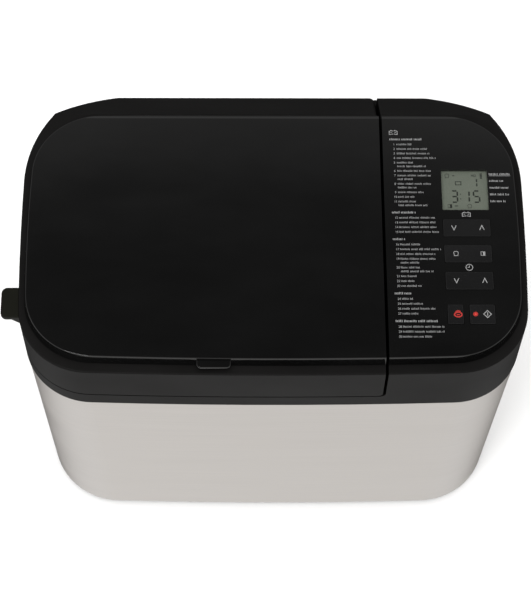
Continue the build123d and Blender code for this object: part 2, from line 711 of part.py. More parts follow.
def make_control_board():
    """Printed board under the controls, its tact switches, and its screws into the housing."""
    board_top = LEDGE_Z - BOARD_DROP
    switch_spots = [(PANEL_X + side * SWITCH_SPREAD, key_y) for key_y in ROCKER_YS for side in (-1, 1)]
    switch_spots += [(STOP_X, PRESS_Y), (START_X, PRESS_Y)]
    with BuildPart() as control_board:
        with BuildSketch(level(board_top - BOARD)):
            with Locations((PANEL_X, (HATCH_FRONT + HATCH_BACK) / 2)):
                RectangleRounded(HATCH_WIDTH + 4, HATCH_BACK - HATCH_FRONT + 4, 3)
        extrude(amount=BOARD)
    control_board.part.label = "control_board"
    export_step(control_board.part, "parts/control_board.step")
    with BuildPart() as key_switches:
        with BuildSketch(level(board_top)):
            with Locations(*switch_spots):
                Rectangle(SWITCH_WIDTH, SWITCH_WIDTH)
        extrude(amount=SWITCH_HEIGHT)
        with BuildSketch(level(board_top + SWITCH_HEIGHT)):
            with Locations(*switch_spots):
                Circle(1.7)
        extrude(amount=KEY_BOTTOM - SWITCH_GAP - board_top - SWITCH_HEIGHT)
    key_switches.part.label = "key_switches"
    export_step(key_switches.part, "parts/key_switches.step")


def make_power_board():
    """Mains board standing on the base beside the motor, with its parts."""
    with BuildPart() as power_board:
        with BuildSketch(level(52)):
            with Locations((MOTOR_X, POWER_BOARD_Y)):
                Rectangle(90, BOARD)
        extrude(amount=84)
    power_board.part.label = "power_board"
    export_step(power_board.part, "parts/power_board.step")
    with BuildPart() as board_parts:
        with BuildSketch(front_view(POWER_BOARD_Y - BOARD / 2)):
            with Locations((MOTOR_X - 24, 74)):
                Rectangle(30, 26)
            with Locations((MOTOR_X + 18, 70)):
                Rectangle(18, 15)
            with Locations((MOTOR_X + 18, 96)):
                Rectangle(18, 15)
        extrude(amount=18)
        with BuildSketch(front_view(POWER_BOARD_Y - BOARD / 2)):
            with Locations((MOTOR_X - 26, 112), (MOTOR_X - 8, 112)):
                Circle(6)
        extrude(amount=22)
    board_parts.part.label = "board_parts"
    export_step(board_parts.part, "parts/board_parts.step")


def make_oven_chamber():
    """Folded sheet well with a turned-out flange under the deck."""
    with BuildPart() as oven_chamber:
        with BuildSketch(well_level(WELL_FLOOR)):
            RectangleRounded(2 * (WELL_HALF_W + SHEET), 2 * (WELL_HALF_D + SHEET), WELL_RADIUS + SHEET)
        extrude(amount=RIM_TOP - DECK - WELL_FLOOR)
        with BuildSketch(well_level(RIM_TOP - DECK - SHEET)):
            RectangleRounded(2 * WELL_HALF_W + 18, 2 * WELL_HALF_D + 18, WELL_RADIUS + 9)
        extrude(amount=SHEET)
        with BuildSketch(well_level(WELL_FLOOR + SHEET)):
            RectangleRounded(2 * WELL_HALF_W, 2 * WELL_HALF_D, WELL_RADIUS)
        extrude(amount=FAR, mode=Mode.SUBTRACT)
        with BuildSketch(well_level(WELL_FLOOR)):
            Circle(BEARING_RADIUS + 0.2)
        extrude(amount=SHEET, mode=Mode.SUBTRACT)
        # holes for the heater's two ends and the temperature sensor
        with BuildSketch(side_view(WELL_X + WELL_HALF_W - 1)):
            with Locations((WELL_Y - HEATER_ENDS, HEATER_Z), (WELL_Y + HEATER_ENDS, HEATER_Z)):
                Circle(HEATER_RADIUS + 1.0)
        extrude(amount=4, mode=Mode.SUBTRACT)
        with BuildSketch(side_view(WELL_X + WELL_HALF_W - 1)):
            with Locations((WELL_Y, SENSOR_Z)):
                Circle(SENSOR_RADIUS + 0.4)
        extrude(amount=4, mode=Mode.SUBTRACT)
    oven_chamber.part.label = "oven_chamber"
    export_step(oven_chamber.part, "parts/oven_chamber.step")


def make_heater():
    """Tubular element round the pan's foot: an open loop whose two ends leave to the right."""
    out_x = WELL_HALF_W + 14
    with BuildPart() as heater_element:
        with BuildLine(well_level(HEATER_Z)):
            loop = FilletPolyline(
                (out_x, -HEATER_ENDS),
                (HEATER_RIGHT, -HEATER_ENDS),
                (HEATER_RIGHT, -HEATER_HALF_D),
                (HEATER_LEFT, -HEATER_HALF_D),
                (HEATER_LEFT, HEATER_HALF_D),
                (HEATER_RIGHT, HEATER_HALF_D),
                (HEATER_RIGHT, HEATER_ENDS),
                (out_x, HEATER_ENDS),
                radius=HEATER_TURN,
            )
        with BuildSketch(Plane(loop @ 0, z_dir=loop % 0)):
            Circle(HEATER_RADIUS)
        sweep()
    heater_element.part.label = "heater_element"
    export_step(heater_element.part, "parts/heater_element.step")
    with BuildPart() as heater_clips:
        for side in (-1, 1):
            with BuildSketch(well_level(WELL_FLOOR + SHEET)):
                with Locations((-30, side * HEATER_HALF_D), (30, side * HEATER_HALF_D)):
                    Rectangle(6, 4)
            extrude(amount=HEATER_Z - HEATER_RADIUS - WELL_FLOOR - SHEET)
    heater_clips.part.label = "heater_clips"
    export_step(heater_clips.part, "parts/heater_clips.step")
    with BuildPart() as temperature_sensor:
        with BuildSketch(side_view(WELL_X + WELL_HALF_W - 6)):
            with Locations((WELL_Y, SENSOR_Z)):
                Circle(SENSOR_RADIUS)
        extrude(amount=16)
        with BuildSketch(side_view(WELL_X + WELL_HALF_W + SHEET)):
            with Locations((WELL_Y, SENSOR_Z)):
                Circle(7)
        extrude(amount=2)
    temperature_sensor.part.label = "temperature_sensor"
    export_step(temperature_sensor.part, "parts/temperature_sensor.step")


def make_pan_seat():
    """Ring on the well's floor that the pan's collar stands in."""
    with BuildPart() as pan_seat:
        with BuildSketch(well_level(WELL_FLOOR + SHEET)):
            Circle(COLLAR_RADIUS + 7)
            Circle(COLLAR_RADIUS + 0.8, mode=Mode.SUBTRACT)
        extrude(amount=13)
        with BuildSketch(well_level(WELL_FLOOR + SHEET)):
            Circle(COLLAR_RADIUS + 14)
            Circle(COLLAR_RADIUS - 8, mode=Mode.SUBTRACT)
        extrude(amount=1.5)
    pan_seat.part.label = "pan_seat"
    export_step(pan_seat.part, "parts/pan_seat.step")


def make_bread_pan():
    """Drawn pan with tapering walls, a rolled rim and two ears for the handle."""
    base_w, base_d = PAN_BASE_HALF
    mouth_w, mouth_d = PAN_MOUTH_HALF
    with BuildPart() as bread_pan:
        for inset, lift, mode in ((0, 0, Mode.ADD), (PAN_WALL, PAN_WALL, Mode.SUBTRACT)):
            with BuildSketch(well_level(PAN_FLOOR + lift)):
                RectangleRounded(2 * (base_w - inset), 2 * (base_d - inset), PAN_RADIUS - inset)
            with BuildSketch(well_level(PAN_TOP)):
                RectangleRounded(2 * (mouth_w - inset), 2 * (mouth_d - inset), PAN_RADIUS - inset)
            loft(ruled=True, mode=mode)
        with BuildSketch(well_level(PAN_TOP - PAN_WALL)):
            RectangleRounded(2 * (mouth_w + PAN_RIM), 2 * (mouth_d + PAN_RIM), PAN_RADIUS + PAN_RIM)
            RectangleRounded(2 * (mouth_w - PAN_WALL), 2 * (mouth_d - PAN_WALL), PAN_RADIUS - PAN_WALL,
                             mode=Mode.SUBTRACT)
        extrude(amount=PAN_WALL)
        with BuildSketch(well_level(PAN_FLOOR)):
            Circle(BUSH_RADIUS)
        extrude(amount=PAN_WALL, mode=Mode.SUBTRACT)
        for ear_x in (-mouth_w - 2, mouth_w):
            with BuildSketch(side_view(WELL_X + ear_x)):
                with Locations((WELL_Y, PAN_TOP - 1)):
                    Rectangle(15, BAIL_Z - PAN_TOP + 1, align=(Align.CENTER, Align.MIN))
                with Locations((WELL_Y, BAIL_Z)):
                    Circle(7.5)
                with Locations((WELL_Y, BAIL_Z)):
                    Circle(BAIL_RADIUS + RUNNING, mode=Mode.SUBTRACT)
                with Locations((WELL_Y, PAN_TOP - PAN_WALL)):
                    Rectangle(30, 20, align=(Align.CENTER, Align.MAX), mode=Mode.SUBTRACT)
            extrude(amount=2)
    bread_pan.part.label = "bread_pan"
    export_step(bread_pan.part, "parts/bread_pan.step")
    with BuildPart() as pan_collar:
        with BuildSketch(well_level(COLLAR_BOTTOM)):
            Circle(COLLAR_RADIUS)
            Circle(COLLAR_RADIUS - 3, mode=Mode.SUBTRACT)
        extrude(amount=PAN_FLOOR - COLLAR_BOTTOM)
    pan_collar.part.label = "pan_collar"
    export_step(pan_collar.part, "parts/pan_collar.step")
    with BuildPart() as shaft_bush:
        with BuildSketch(well_level(DOG_TOP + 0.8)):
            Circle(BUSH_RADIUS)
            Circle(SHAFT_RADIUS + RUNNING, mode=Mode.SUBTRACT)
        extrude(amount=PAN_FLOOR + PAN_WALL + 0.8 - DOG_TOP - 0.8)
    shaft_bush.part.label = "shaft_bush"
    export_step(shaft_bush.part, "parts/shaft_bush.step")


def make_pan_handle():
    """Round-wire bail folded down over the front of the pan's rim."""
    with BuildPart() as pan_handle:
        with BuildLine(well_level(BAIL_Z)):
            wire = FilletPolyline(
                (-PAN_MOUTH_HALF[0] + 1.5, 0),
                (-BAIL_HALF - 4, 0),
                (-BAIL_HALF - 4, -BAIL_REACH),
                (BAIL_HALF + 4, -BAIL_REACH),
                (BAIL_HALF + 4, 0),
                (PAN_MOUTH_HALF[0] - 1.5, 0),
                radius=5,
            )
        with BuildSketch(Plane(wire @ 0, z_dir=wire % 0)):
            Circle(BAIL_RADIUS)
        sweep()
    pan_handle.part.label = "pan_handle"
    export_step(pan_handle.part, "parts/pan_handle.step")


def make_mixer():
    """The pan's shaft with its driving wing, and the kneading blade on it."""
    with BuildPart() as pan_shaft:
        with BuildSketch(well_level(DOG_TOP + 0.2)):
            Circle(SHAFT_RADIUS)
        extrude(amount=BLADE_TOP + 1.8 - DOG_TOP)
        with BuildSketch(well_level(DOG_TOP - 7.5)):
            Rectangle(18, DOG_SLOT - 1)
        extrude(amount=8)
    pan_shaft.part.label = "pan_shaft"
    export_step(pan_shaft.part, "parts/pan_shaft.step")
    with BuildPart() as kneading_blade:
        with BuildSketch(well_level(BLADE_BOTTOM)):
            Circle(BLADE_HUB)
        extrude(amount=BLADE_TOP - BLADE_BOTTOM, taper=2)
        with BuildSketch(well_level(BLADE_BOTTOM + 0.5)):
            with BuildLine():
                Polyline((0, -4), (30, -3.2), (46, -2))
                TangentArc((46, -2), (46, 2), tangent=(1, 0))
                Polyline((46, 2), (30, 3.2), (0, 4), (0, -4))
            make_face()
        extrude(amount=20, taper=3)
        with BuildSketch(well_level(BLADE_BOTTOM)):
            Circle(SHAFT_RADIUS)
        extrude(amount=FAR, mode=Mode.SUBTRACT)
    kneading_blade.part.label = "kneading_blade"
    export_step(kneading_blade.part, "parts/kneading_blade.step")


def make_spindle():
    """Drive spindle with its slotted dog, the driven pulley and the bearing it turns in."""
    with BuildPart() as spindle_bearing:
        with BuildSketch(well_level(BRACKET_TOP)):
            Circle(BEARING_FLANGE_RADIUS)
        extrude(amount=4)
        with BuildSketch(well_level(BRACKET_TOP)):
            Circle(BEARING_RADIUS)
        extrude(amount=BEARING_TOP - BRACKET_TOP)
        with BuildSketch(well_level(BRACKET_TOP)):
            Circle(SPINDLE_RADIUS + RUNNING)
        extrude(amount=FAR, mode=Mode.SUBTRACT)
    spindle_bearing.part.label = "spindle_bearing"
    export_step(spindle_bearing.part, "parts/spindle_bearing.step")
    with BuildPart() as drive_spindle:
        with BuildSketch(well_level(PULLEY_BOTTOM - 3)):
            Circle(SPINDLE_RADIUS)
        extrude(amount=DOG_BOTTOM + 1.5 - PULLEY_BOTTOM + 3)
        with BuildSketch(well_level(DOG_BOTTOM)):
            Circle(DOG_RADIUS)
        extrude(amount=DOG_TOP - DOG_BOTTOM)
        with BuildSketch(well_level(DOG_TOP - DOG_SLOT_DEPTH)):
            Rectangle(FAR, DOG_SLOT)
        extrude(amount=DOG_SLOT_DEPTH, mode=Mode.SUBTRACT)
    drive_spindle.part.label = "drive_spindle"
    export_step(drive_spindle.part, "parts/drive_spindle.step")
    with BuildPart() as driven_pulley:
        with BuildSketch(well_level(PULLEY_BOTTOM)):
            Circle(DRIVEN_RADIUS + 2)
        extrude(amount=1.5)
        with BuildSketch(well_level(PULLEY_TOP - 1.5)):
            Circle(DRIVEN_RADIUS + 2)
        extrude(amount=1.5)
        with BuildSketch(well_level(PULLEY_BOTTOM)):
            Circle(DRIVEN_RADIUS)
            with PolarLocations(24, 6):
                Circle(7.5, mode=Mode.SUBTRACT)
        extrude(amount=PULLEY_TOP - PULLEY_BOTTOM)
        with BuildSketch(well_level(PULLEY_BOTTOM)):
            with PolarLocations(24, 6):
                Circle(7.5)
            Circle(SPINDLE_RADIUS)
        extrude(amount=FAR, mode=Mode.SUBTRACT)
    driven_pulley.part.label = "driven_pulley"
    export_step(driven_pulley.part, "parts/driven_pulley.step")


def belt_outline(grow):
    """Outline of a belt round both pulleys, about the spindle."""
    span = MOTOR_X - WELL_X
    tilt = math.degrees(math.asin((DRIVEN_RADIUS - MOTOR_PULLEY_RADIUS) / span))
    big = DRIVEN_RADIUS + grow
    small = MOTOR_PULLEY_RADIUS + grow
    with BuildSketch(mode=Mode.PRIVATE) as outline:
        with BuildLine():
            far_arc = CenterArc((0, 0), big, 90 - tilt, 180 + 2 * tilt)
            near_arc = CenterArc((span, 0), small, 270 + tilt, 180 - 2 * tilt)
            Line(far_arc @ 1, near_arc @ 0)
            Line(near_arc @ 1, far_arc @ 0)
        make_face()
    return outline.sketch


def make_drive():
    """Motor on its bracket, the motor's shaft and pulley, and the belt."""
    with BuildPart() as drive_bracket:
        with BuildSketch(level(BRACKET_TOP - BRACKET_SHEET)):
            with Locations((28, WELL_Y)):
                RectangleRounded(270, 104, 8)
            with Locations((WELL_X, WELL_Y), (MOTOR_X, WELL_Y)):
                Circle(BRACKET_HOLE, mode=Mode.SUBTRACT)
        extrude(amount=BRACKET_SHEET)
    drive_bracket.part.label = "drive_bracket"
    export_step(drive_bracket.part, "parts/drive_bracket.step")
    with BuildPart() as motor_case:
        with BuildSketch(level(BRACKET_TOP)):
            with Locations((MOTOR_X, WELL_Y)):
                Circle(MOTOR_RADIUS)
        extrude(amount=MOTOR_TOP - BRACKET_TOP)
        fillet(motor_case.edges().filter_by(GeomType.CIRCLE).sort_by(Axis.Z)[-1], 4)
        with BuildSketch(level(BRACKET_TOP)):
            with Locations((MOTOR_X, WELL_Y)):
                Circle(SHAFT_RADIUS + RUNNING)
        extrude(amount=40, mode=Mode.SUBTRACT)
    motor_case.part.label = "motor_case"
    export_step(motor_case.part, "parts/motor_case.step")
    with BuildPart() as motor_shaft:
        with BuildSketch(level(PULLEY_BOTTOM - 2)):
            with Locations((MOTOR_X, WELL_Y)):
                Circle(SHAFT_RADIUS)
        extrude(amount=BRACKET_TOP + 38 - PULLEY_BOTTOM + 2)
    motor_shaft.part.label = "motor_shaft"
    export_step(motor_shaft.part, "parts/motor_shaft.step")
    with BuildPart() as motor_pulley:
        with BuildSketch(level(PULLEY_BOTTOM)):
            with Locations((MOTOR_X, WELL_Y)):
                Circle(MOTOR_PULLEY_RADIUS)
        extrude(amount=PULLEY_TOP - PULLEY_BOTTOM)
        for flange_z in (PULLEY_BOTTOM, PULLEY_TOP - 1.5):
            with BuildSketch(level(flange_z)):
                with Locations((MOTOR_X, WELL_Y)):
                    Circle(MOTOR_PULLEY_RADIUS + 2)
            extrude(amount=1.5)
        with BuildSketch(level(PULLEY_BOTTOM)):
            with Locations((MOTOR_X, WELL_Y)):
                Circle(SHAFT_RADIUS)
        extrude(amount=FAR, mode=Mode.SUBTRACT)
    motor_pulley.part.label = "motor_pulley"
    export_step(motor_pulley.part, "parts/motor_pulley.step")
    with BuildPart() as drive_belt:
        for grow, mode in ((BELT + RUNNING, Mode.ADD), (RUNNING, Mode.SUBTRACT)):
            with BuildSketch(well_level(PULLEY_BOTTOM + 1.8)):
                add(belt_outline(grow))
            extrude(amount=PULLEY_TOP - PULLEY_BOTTOM - 3.6, mode=mode)
    drive_belt.part.label = "drive_belt"
    export_step(drive_belt.part, "parts/drive_belt.step")


def make_dispensers():
    """The two open boxes under the top cover, and their drop flaps."""
    boxes = (("dispenser_box", DISPENSER_X, DISPENSER_WIDTH, DISPENSER_DEPTH),
             ("yeast_box", YEAST_X, YEAST_WIDTH, YEAST_DEPTH))
    for name, box_x, width, depth in boxes:
        with BuildPart() as box:
            with BuildSketch(level(BOX_BOTTOM)):
                with Locations((box_x, DISPENSER_Y)):
                    Rectangle(width, depth)
                    Rectangle(width - 2 * BOX_WALL, depth - 2 * BOX_WALL, mode=Mode.SUBTRACT)
            extrude(amount=LEDGE_Z - BOX_BOTTOM)
            with BuildSketch(level(LEDGE_Z)):
                with Locations((box_x, DISPENSER_Y)):
                    Rectangle(width + 2 * BOX_FLANGE_REACH, depth + 2 * BOX_FLANGE_REACH)
                    Rectangle(width - 2 * BOX_WALL, depth - 2 * BOX_WALL, mode=Mode.SUBTRACT)
            extrude(amount=BOX_FLANGE)
            with BuildSketch(side_view(box_x - width / 2 - 1)):
                with Locations((DISPENSER_Y + depth / 2 - FLAP_PIN_INSET, FLAP_Z + FLAP / 2)):
                    Circle(FLAP_PIN_RADIUS + RUNNING)
            extrude(amount=width + 2, mode=Mode.SUBTRACT)
        box.part.label = name
        export_step(box.part, f"parts/{name}.step")
    flaps = (("dispenser_flap", DISPENSER_X, DISPENSER_WIDTH, DISPENSER_DEPTH),
             ("yeast_flap", YEAST_X, YEAST_WIDTH, YEAST_DEPTH))
    for name, box_x, width, depth in flaps:
        with BuildPart() as flap:
            with BuildSketch(level(FLAP_Z)):
                with Locations((box_x, DISPENSER_Y)):
                    Rectangle(width - 2 * BOX_WALL - 0.8, depth - 2 * BOX_WALL - 0.8)
            extrude(amount=FLAP)
            with BuildSketch(side_view(box_x - width / 2 + 0.2)):
                with Locations((DISPENSER_Y + depth / 2 - FLAP_PIN_INSET, FLAP_Z + FLAP / 2)):
                    Circle(FLAP_PIN_RADIUS)
            extrude(amount=width - 0.4)
        flap.part.label = name
        export_step(flap.part, f"parts/{name}.step")


def make_lid_inner():
    """Metal plate closing the lid's underside, and the seal round the well's mouth."""
    plate_z = LID_BOTTOM + 0.6
    with BuildPart() as lid_inner_plate:
        with BuildSketch(level(plate_z)):
            add(body_outline(WALL + 0.4))
            add(right_of(LID_RIGHT - WALL - 0.4), mode=Mode.SUBTRACT)
            with Locations((0, HINGE_Y - HINGE_BAR - 0.6)):
                Rectangle(3 * FAR, FAR, align=(Align.CENTER, Align.MIN), mode=Mode.SUBTRACT)
        extrude(amount=SHEET)
        with BuildSketch(well_level(LID_BOTTOM - 2.4)):
            RectangleRounded(2 * WELL_HALF_W - 9, 2 * WELL_HALF_D - 9, WELL_RADIUS - 4)
        extrude(amount=plate_z + SHEET - LID_BOTTOM + 2.4)
        with BuildSketch(well_level(LID_BOTTOM - 2.4 + SHEET)):
            RectangleRounded(2 * WELL_HALF_W - 12, 2 * WELL_HALF_D - 12, WELL_RADIUS - 5)
        extrude(amount=FAR, mode=Mode.SUBTRACT)
        with BuildSketch(level(LID_BOTTOM - 5)):
            with Locations((DISPENSER_X, DISPENSER_Y)):
                Rectangle(DISPENSER_WIDTH + 0.6, DISPENSER_DEPTH + 0.6)
            with Locations((YEAST_X, DISPENSER_Y)):
                Rectangle(YEAST_WIDTH + 0.6, YEAST_DEPTH + 0.6)
        extrude(amount=FAR, mode=Mode.SUBTRACT)
    lid_inner_plate.part.label = "lid_inner_plate"
    export_step(lid_inner_plate.part, "parts/lid_inner_plate.step")
    with BuildPart() as lid_gasket:
        with BuildSketch(well_level(RIM_TOP + 0.15)):
            RectangleRounded(2 * WELL_HALF_W + 13, 2 * WELL_HALF_D + 13, WELL_RADIUS + 6)
            RectangleRounded(2 * WELL_HALF_W + 5, 2 * WELL_HALF_D + 5, WELL_RADIUS + 2, mode=Mode.SUBTRACT)
        extrude(amount=plate_z - RIM_TOP - 0.15)
    lid_gasket.part.label = "lid_gasket"
    export_step(lid_gasket.part, "parts/lid_gasket.step")


def make_pins():
    with BuildPart() as hinge_pins:
        for ear_x in HINGE_XS:
            with BuildSketch(side_view(ear_x - PIN_LENGTH / 2)):
                with Locations((HINGE_Y, HINGE_Z)):
                    Circle(PIN_RADIUS)
            extrude(amount=PIN_LENGTH)
    hinge_pins.part.label = "hinge_pins"
    export_step(hinge_pins.part, "parts/hinge_pins.step")
    with BuildPart() as cover_pins:
        for ear_x in COVER_EAR_XS:
            with BuildSketch(side_view(ear_x - COVER_PIN_LENGTH / 2)):
                with Locations((COVER_AXIS_Y, COVER_AXIS_Z)):
                    Circle(COVER_PIN_RADIUS)
            extrude(amount=COVER_PIN_LENGTH)
    cover_pins.part.label = "cover_pins"
    export_step(cover_pins.part, "parts/cover_pins.step")


def make_screws():
    with BuildPart() as bracket_screws:
        with BuildSketch(level(BRACKET_TOP)):
            with Locations(*BRACKET_POSTS):
                Circle(3.6)
        extrude(amount=2.2)
    bracket_screws.part.label = "bracket_screws"
    export_step(bracket_screws.part, "parts/bracket_screws.step")
    with BuildPart() as well_screws:
        with BuildSketch(well_level(RIM_TOP - DECK - SHEET - 2)):
            with GridLocations(2 * WELL_HALF_W + 10, 60, 2, 2):
                Circle(2.6)
            with GridLocations(80, 2 * WELL_HALF_D + 10, 2, 2):
                Circle(2.6)
        extrude(amount=2)
    well_screws.part.label = "well_screws"
    export_step(well_screws.part, "parts/well_screws.step")


make_steel_wrap()
make_cord_gland()
make_base_tray()
make_rubber_feet()
make_upper_frame()
make_lid_shell()
make_side_tab()
make_top_cover()
make_control_plate()
make_display()
make_keys()
make_key_frame()
make_control_board()
make_power_board()
make_oven_chamber()
make_heater()
make_pan_seat()
make_bread_pan()
make_pan_handle()
make_mixer()
make_spindle()
make_drive()
make_dispensers()
make_lid_inner()
make_pins()
make_screws()
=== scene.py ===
import json
import math
import random

import bmesh
import bpy
from mathutils import Matrix, Vector


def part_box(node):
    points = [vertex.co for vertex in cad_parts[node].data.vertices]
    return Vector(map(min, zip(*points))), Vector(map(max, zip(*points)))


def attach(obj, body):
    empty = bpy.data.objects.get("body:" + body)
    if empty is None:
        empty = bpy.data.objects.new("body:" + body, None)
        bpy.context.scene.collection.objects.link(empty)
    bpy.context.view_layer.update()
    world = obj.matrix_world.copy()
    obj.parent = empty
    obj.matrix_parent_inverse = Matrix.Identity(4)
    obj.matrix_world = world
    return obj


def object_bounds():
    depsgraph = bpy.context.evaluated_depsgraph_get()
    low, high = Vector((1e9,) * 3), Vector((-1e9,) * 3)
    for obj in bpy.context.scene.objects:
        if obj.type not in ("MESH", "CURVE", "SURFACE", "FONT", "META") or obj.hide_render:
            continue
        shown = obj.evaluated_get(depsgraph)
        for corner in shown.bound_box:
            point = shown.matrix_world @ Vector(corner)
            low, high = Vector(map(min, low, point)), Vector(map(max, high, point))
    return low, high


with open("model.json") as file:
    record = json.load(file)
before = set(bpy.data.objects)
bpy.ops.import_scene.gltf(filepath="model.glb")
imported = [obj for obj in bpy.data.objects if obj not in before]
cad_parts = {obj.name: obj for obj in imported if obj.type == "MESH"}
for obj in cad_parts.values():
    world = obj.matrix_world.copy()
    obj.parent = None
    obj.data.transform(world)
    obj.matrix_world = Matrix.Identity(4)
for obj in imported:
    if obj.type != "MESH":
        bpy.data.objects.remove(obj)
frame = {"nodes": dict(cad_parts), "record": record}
nodes = frame["nodes"]
cad_low, cad_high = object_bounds()

MM = 0.001
BOX_CENTRE = (cad_low + cad_high) / 2

# ---------------------------------------------------------------- camera

CAMERA_PITCH = math.radians(64.338)
CAMERA_YAW = math.radians(1.190)
CAMERA_ROLL = math.radians(1.136)
CAMERA_DISTANCE = 1.51915
CAMERA_LENS = 118.77
AIM = BOX_CENTRE + Vector((0.0005, -0.0414, 0.0958))


def add_camera():
    """A long lens from the front and well above, as the object is shown in a catalogue."""
    forward = Vector((
        math.sin(CAMERA_YAW) * math.cos(CAMERA_PITCH),
        math.cos(CAMERA_YAW) * math.cos(CAMERA_PITCH),
        -math.sin(CAMERA_PITCH),
    ))
    level_right = Vector((math.cos(CAMERA_YAW), -math.sin(CAMERA_YAW), 0))
    level_up = level_right.cross(forward)
    right = level_right * math.cos(CAMERA_ROLL) + level_up * math.sin(CAMERA_ROLL)
    up = level_up * math.cos(CAMERA_ROLL) - level_right * math.sin(CAMERA_ROLL)
    data = bpy.data.cameras.new("camera")
    data.sensor_width = 36.0
    data.lens = CAMERA_LENS
    camera = bpy.data.objects.new("camera", data)
    bpy.context.scene.collection.objects.link(camera)
    camera.matrix_world = (
        Matrix.Translation(AIM - forward * CAMERA_DISTANCE)
        @ Matrix((right, up, -forward)).transposed().to_4x4()
    )
    bpy.context.scene.camera = camera


# ---------------------------------------------------------------- materials

def start_material(name, colour, roughness, metallic=0.0):
    """A Principled material and its node tree."""
    material = bpy.data.materials.new(name)
    material.use_nodes = True
    tree = material.node_tree
    shader = tree.nodes["Principled BSDF"]
    shader.inputs["Base Color"].default_value = (*colour, 1)
    shader.inputs["Roughness"].default_value = roughness
    shader.inputs["Metallic"].default_value = metallic
    return material, tree, shader


def noise(tree, scale, stretch=(1, 1, 1), detail=3.0):
    """Noise in the object's own coordinates, stretched along the axes."""
    place = tree.nodes.new("ShaderNodeTexCoord")
    mapping = tree.nodes.new("ShaderNodeMapping")
    mapping.inputs["Scale"].default_value = stretch
    texture = tree.nodes.new("ShaderNodeTexNoise")
    texture.inputs["Scale"].default_value = scale
    texture.inputs["Detail"].default_value = detail
    tree.links.new(place.outputs["Object"], mapping.inputs["Vector"])
    tree.links.new(mapping.outputs["Vector"], texture.inputs["Vector"])
    return texture.outputs["Fac"]


def spread(tree, value, low, high):
    """The value from 0.3 to 0.7 mapped to low to high."""
    mapped = tree.nodes.new("ShaderNodeMapRange")
    mapped.inputs["From Min"].default_value = 0.3
    mapped.inputs["From Max"].default_value = 0.7
    mapped.inputs["To Min"].default_value = low
    mapped.inputs["To Max"].default_value = high
    tree.links.new(value, mapped.inputs["Value"])
    return mapped.outputs["Result"]


def shade(tree, shader, value, dark, light):
    """Base colour that runs from dark to light with the value."""
    ramp = tree.nodes.new("ShaderNodeValToRGB")
    ramp.color_ramp.elements[0].position = 0.3
    ramp.color_ramp.elements[0].color = (*dark, 1)
    ramp.color_ramp.elements[1].position = 0.7
    ramp.color_ramp.elements[1].color = (*light, 1)
    tree.links.new(value, ramp.inputs["Fac"])
    tree.links.new(ramp.outputs["Color"], shader.inputs["Base Color"])


def bump(tree, shader, value, height, strength=1.0):
    """Fine relief of the given height in metres."""
    relief = tree.nodes.new("ShaderNodeBump")
    relief.inputs["Strength"].default_value = strength
    relief.inputs["Distance"].default_value = height
    tree.links.new(value, relief.inputs["Height"])
    tree.links.new(relief.outputs["Normal"], shader.inputs["Normal"])


def brushed_steel():
    """Stainless sheet with a horizontal grain, which stretches its reflections up and down."""
    material, tree, shader = start_material("brushed_steel", (0.56, 0.54, 0.52), 0.36, 1.0)
    grain = noise(tree, 1.0, (9, 9, 1500), 4.0)
    cloud = noise(tree, 6.0, (1, 1, 5), 2.0)
    shade(tree, shader, grain, (0.555, 0.528, 0.505), (0.630, 0.602, 0.578))
    mixed = tree.nodes.new("ShaderNodeMath")
    mixed.operation = "ADD"
    tree.links.new(spread(tree, grain, 0.27, 0.37), mixed.inputs[0])
    tree.links.new(spread(tree, cloud, 0.0, 0.03), mixed.inputs[1])
    tree.links.new(mixed.outputs[0], shader.inputs["Roughness"])
    bump(tree, shader, grain, 0.000004, 0.5)
    shader.inputs["Anisotropic"].default_value = 0.75
    shader.inputs["Anisotropic Rotation"].default_value = 0.25
    tangent = tree.nodes.new("ShaderNodeTangent")
    tangent.direction_type = "RADIAL"
    tangent.axis = "Z"
    tree.links.new(tangent.outputs["Tangent"], shader.inputs["Tangent"])
    return material


def moulded_plastic(name, dark, light, roughness, grain_scale=1500, height=0.00002, specular=0.25):
    """Matte moulding with a fine spark-eroded grain and slightly uneven sheen."""
    material, tree, shader = start_material(name, light, roughness)
    shader.inputs["Specular IOR Level"].default_value = specular
    grain = noise(tree, grain_scale, detail=2.0)
    patch = noise(tree, 18.0)
    shade(tree, shader, patch, dark, light)
    tree.links.new(spread(tree, patch, roughness - 0.04, roughness + 0.05), shader.inputs["Roughness"])
    bump(tree, shader, grain, height, 0.6)
    return material


def polished_plastic(name, dark, light, low, high):
    """Polished moulding: faint smears and hairline wiping marks in its gloss."""
    material, tree, shader = start_material(name, light, low)
    smear = noise(tree, 14.0, (1, 2.2, 1), 5.0)
    wipe = noise(tree, 1.0, (60, 2200, 60), 2.0)
    shade(tree, shader, smear, dark, light)
    mixed = tree.nodes.new("ShaderNodeMath")
    mixed.operation = "ADD"
    tree.links.new(spread(tree, smear, low, high), mixed.inputs[0])
    tree.links.new(spread(tree, wipe, 0.0, 0.01), mixed.inputs[1])
    tree.links.new(mixed.outputs[0], shader.inputs["Roughness"])
    return material


def worked_metal(name, dark, light, roughness, stretch=(40, 40, 400)):
    """Turned, drawn or cast metal with tool marks along one direction."""
    material, tree, shader = start_material(name, light, roughness, 1.0)
    marks = noise(tree, 1.0, stretch, 4.0)
    shade(tree, shader, marks, dark, light)
    tree.links.new(spread(tree, marks, roughness - 0.06, roughness + 0.08), shader.inputs["Roughness"])
    bump(tree, shader, marks, 0.00001, 0.5)
    return material


def coated_metal(name, dark, light, roughness):
    """Speckled coating, or the dull skin of a hot element."""
    material, tree, shader = start_material(name, light, roughness, 0.2)
    speckle = noise(tree, 700, detail=3.0)
    shade(tree, shader, speckle, dark, light)
    tree.links.new(spread(tree, speckle, roughness - 0.06, roughness + 0.08), shader.inputs["Roughness"])
    bump(tree, shader, speckle, 0.00001, 0.6)
    return material


